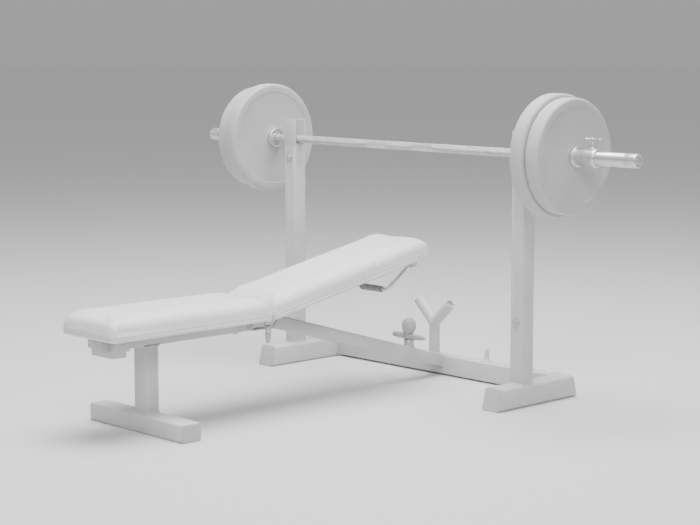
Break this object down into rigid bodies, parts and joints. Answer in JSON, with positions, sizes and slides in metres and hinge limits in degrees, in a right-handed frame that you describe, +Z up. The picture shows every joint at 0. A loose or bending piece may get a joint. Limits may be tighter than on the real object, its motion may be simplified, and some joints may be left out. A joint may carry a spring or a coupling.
{
  "type": "olympic bench press",
  "caption": "Weight bench with a tilting padded backrest in front of two bar uprights, with a loaded barbell racked in open cradles.",
  "frame": {"origin": "on the floor, below the middle of the whole object's box", "axes": "+X along the barbell to the lifter's left when lying down, +Y from the seat to the uprights, +Z up"},
  "size_m": [2.2, 1.7027, 1.1051],
  "materials": {
    "frame_coat": "satin",
    "bright_steel": "satin",
    "zinc": "satin",
    "bronze": "satin",
    "vinyl": "satin",
    "foam": "matte",
    "plywood": "matte",
    "plate_rubber": "matte",
    "grip_rubber": "matte",
    "plastic": "matte"
  },
  "bodies": {
    "frame": {"skid_left": "frame_coat", "skid_right": "frame_coat", "crossbeam": "frame_coat", "upright_left": "frame_coat", "upright_right": "frame_coat", "cradle_left": "frame_coat", "cradle_right": "frame_coat", "spine": "frame_coat", "seat_rail": "frame_coat", "front_leg": "frame_coat", "front_foot": "frame_coat", "front_bracket": "frame_coat", "fork_post": "frame_coat", "band_peg": "frame_coat", "upright_bolt_left": "zinc", "upright_bolt_right": "zinc", "cradle_bolt_left": "zinc", "cradle_bolt_right": "zinc", "seat_bolt": "zinc", "hinge_leaf": "zinc", "pin_barrel": "zinc", "hinge_rod": "bright_steel", "pin_spring": "bright_steel", "seat_cover": "vinyl", "seat_foam": "foam", "seat_board": "plywood", "skid_cap_front_left": "plastic", "skid_cap_front_right": "plastic", "skid_cap_rear_left": "plastic", "skid_cap_rear_right": "plastic", "cradle_liner_left": "plastic", "cradle_liner_right": "plastic", "foot_cap_left": "plastic", "foot_cap_right": "plastic"},
    "bar": {"bar_shaft": "bright_steel"},
    "sleeve_left": {"sleeve_left": "bright_steel", "bushing_left": "bronze"},
    "plate_inner_left": {"plate_inner_left": "plate_rubber"},
    "plate_outer_left": {"plate_outer_left": "plate_rubber"},
    "collar_left": {"collar_left": "bright_steel"},
    "collar_screw_left": {"collar_screw_left": "zinc"},
    "sleeve_right": {"sleeve_right": "bright_steel", "bushing_right": "bronze"},
    "plate_inner_right": {"plate_inner_right": "plate_rubber"},
    "plate_outer_right": {"plate_outer_right": "plate_rubber"},
    "collar_right": {"collar_right": "bright_steel"},
    "collar_screw_right": {"collar_screw_right": "zinc"},
    "backrest": {"back_board": "plywood", "back_foam": "foam", "back_cover": "vinyl", "back_leaf": "zinc", "back_rail_left": "frame_coat", "back_rail_right": "frame_coat", "bail_bracket": "frame_coat"},
    "bail": {"bail": "bright_steel", "bail_grip": "grip_rubber"},
    "lock_pin": {"lock_pin": "bright_steel", "pin_knob": "plastic"},
    "knob": {"knob_screw": "zinc", "knob_grip": "plastic"}
  },
  "joints": [
    {"name": "bar_lift", "type": "slide", "parent": "frame", "child": "bar", "axis": [0, 0, 1], "range_m": [0, 0.35]},
    {"name": "sleeve_spin_left", "type": "hinge", "parent": "bar", "child": "sleeve_left", "pos_m": [-0.9, 0.5841, 0.892], "axis": [1, 0, 0], "continuous": true},
    {"name": "plate_inner_slide_left", "type": "slide", "parent": "sleeve_left", "child": "plate_inner_left", "axis": [-1, 0, 0], "range_m": [0, 0.4]},
    {"name": "plate_outer_slide_left", "type": "slide", "parent": "sleeve_left", "child": "plate_outer_left", "axis": [-1, 0, 0], "range_m": [0, 0.42]},
    {"name": "collar_slide_left", "type": "slide", "parent": "sleeve_left", "child": "collar_left", "axis": [-1, 0, 0], "range_m": [0, 0.46]},
    {"name": "collar_screw_turn_left", "type": "hinge", "parent": "collar_left", "child": "collar_screw_left", "pos_m": [-0.9055, 0.5841, 0.954], "axis": [0, 0, 1], "range_deg": [0, 360]},
    {"name": "sleeve_spin_right", "type": "hinge", "parent": "bar", "child": "sleeve_right", "pos_m": [0.9, 0.5841, 0.892], "axis": [1, 0, 0], "continuous": true},
    {"name": "plate_inner_slide_right", "type": "slide", "parent": "sleeve_right", "child": "plate_inner_right", "axis": [1, 0, 0], "range_m": [0, 0.4]},
    {"name": "plate_outer_slide_right", "type": "slide", "parent": "sleeve_right", "child": "plate_outer_right", "axis": [1, 0, 0], "range_m": [0, 0.42]},
    {"name": "collar_slide_right", "type": "slide", "parent": "sleeve_right", "child": "collar_right", "axis": [1, 0, 0], "range_m": [0, 0.46]},
    {"name": "collar_screw_turn_right", "type": "hinge", "parent": "collar_right", "child": "collar_screw_right", "pos_m": [0.9055, 0.5841, 0.954], "axis": [0, 0, 1], "range_deg": [0, 360]},
    {"name": "back_tilt", "type": "hinge", "parent": "frame", "child": "backrest", "pos_m": [0, -0.1665, 0.338], "axis": [1, 0, 0], "range_deg": [-11.5, 20]},
    {"name": "bail_swing", "type": "hinge", "parent": "backrest", "child": "bail", "pos_m": [0, 0.55685, 0.46272], "axis": [1, 0, 0], "range_deg": [-20, 30]},
    {"name": "lock_pin_pull", "type": "slide", "parent": "frame", "child": "lock_pin", "axis": [0, 0, -1], "range_m": [0, 0.0055], "stiffness_N_per_m": 600, "springref_m": -0.008, "deforming": ["pin_spring"]},
    {"name": "lock_knob_turn", "type": "hinge", "parent": "frame", "child": "knob", "pos_m": [0, 0.6285, 0.17], "axis": [0, 0, 1], "range_deg": [0, 360]}
  ],
  "couplings": [
    {"joint": "plate_outer_slide_left", "follows": "plate_inner_slide_left", "ratio": 1.05},
    {"joint": "collar_slide_left", "follows": "plate_inner_slide_left", "ratio": 1.15},
    {"joint": "plate_outer_slide_right", "follows": "plate_inner_slide_right", "ratio": 1.05},
    {"joint": "collar_slide_right", "follows": "plate_inner_slide_right", "ratio": 1.15}
  ]
}
